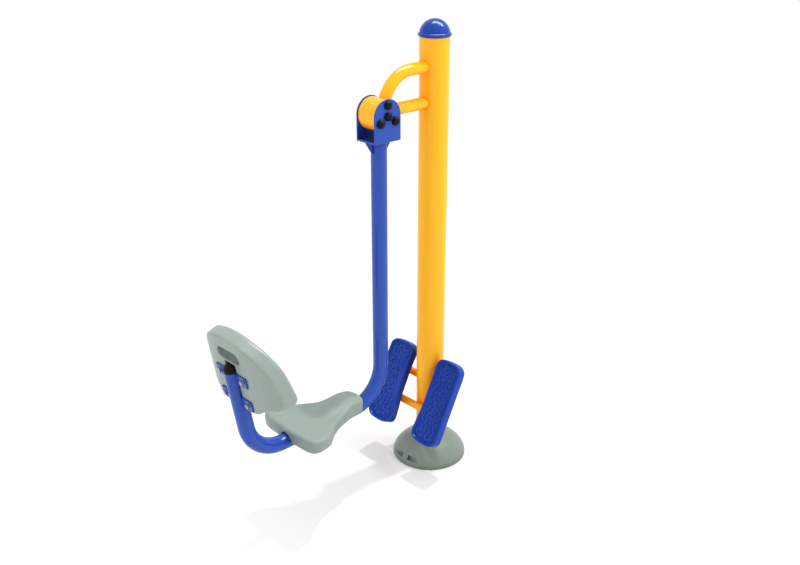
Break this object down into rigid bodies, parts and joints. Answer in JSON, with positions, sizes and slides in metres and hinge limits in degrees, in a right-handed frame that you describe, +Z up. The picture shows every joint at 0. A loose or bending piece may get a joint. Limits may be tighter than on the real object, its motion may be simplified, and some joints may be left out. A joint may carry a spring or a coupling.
{
  "type": "outdoor leg press machine",
  "caption": "Outdoor leg press machine: a post with fixed foot plates and a drum pivot that carries a hanging arm with a saddle seat and a backrest.",
  "frame": {"origin": "middle of the foot plate's underside, on the ground, in the post's axis", "axes": "+Z up along the post; the seat hangs on the -X side and its rider faces +X; +Y is the rider's left"},
  "size_m": [1.1472, 0.424, 1.8351],
  "materials": {
    "yellow_steel": "gloss powder coat",
    "blue_steel": "gloss powder coat",
    "blue_plastic": "moulded gloss",
    "pedal_plastic": "moulded gloss with a textured tread",
    "cover_plastic": "moulded satin",
    "seat_plastic": "moulded satin",
    "black_plastic": "moulded satin",
    "zinc_steel": "zinc plated",
    "bright_steel": "ground",
    "black_rubber": "matt",
    "insert_brass": "turned"
  },
  "bodies": {
    "frame": {"post": "yellow_steel", "post_cap": "blue_plastic", "foot_plate": "yellow_steel", "foot_ribs": "yellow_steel", "cover_left": "cover_plastic", "cover_right": "cover_plastic", "cover_screws": "zinc_steel", "cover_nuts": "zinc_steel", "bracket_upper": "yellow_steel", "bracket_lower": "yellow_steel", "bearing_drum": "yellow_steel", "bearing_outer_rings": "bright_steel", "bearing_balls": "bright_steel", "bearing_seals": "black_rubber", "bar_lower": "yellow_steel", "bar_upper": "yellow_steel", "carrier_left": "yellow_steel", "carrier_right": "yellow_steel", "pedal_left": "pedal_plastic", "pedal_right": "pedal_plastic", "pedal_bolts": "zinc_steel", "pedal_washers": "zinc_steel"},
    "swing_arm": {"fork_plate_left": "blue_steel", "fork_plate_right": "blue_steel", "fork_crown": "blue_steel", "fork_gussets": "blue_steel", "axle": "bright_steel", "axle_bolts": "zinc_steel", "axle_spacers": "bright_steel", "bearing_inner_rings": "bright_steel", "tie_bolts": "zinc_steel", "tie_nuts": "zinc_steel", "fork_washers": "zinc_steel", "stop_sleeves": "black_rubber", "bolt_caps_left": "black_plastic", "bolt_caps_right": "black_plastic", "arm_tube": "blue_steel", "back_tube": "blue_steel", "arm_end_cap": "black_plastic", "seat": "seat_plastic", "seat_tabs": "blue_steel", "seat_bolts": "zinc_steel", "seat_washers": "zinc_steel", "seat_inserts": "insert_brass", "backrest": "seat_plastic", "back_tabs_upper": "blue_steel", "back_tabs_lower": "blue_steel", "back_bolts": "zinc_steel", "back_washers": "zinc_steel", "back_inserts": "insert_brass"}
  },
  "joints": [
    {"name": "arm_swing", "type": "hinge", "parent": "frame", "child": "swing_arm", "pos_m": [-0.2785, 0, 1.529], "axis": [0, 1, 0], "range_deg": [0, 35]}
  ]
}
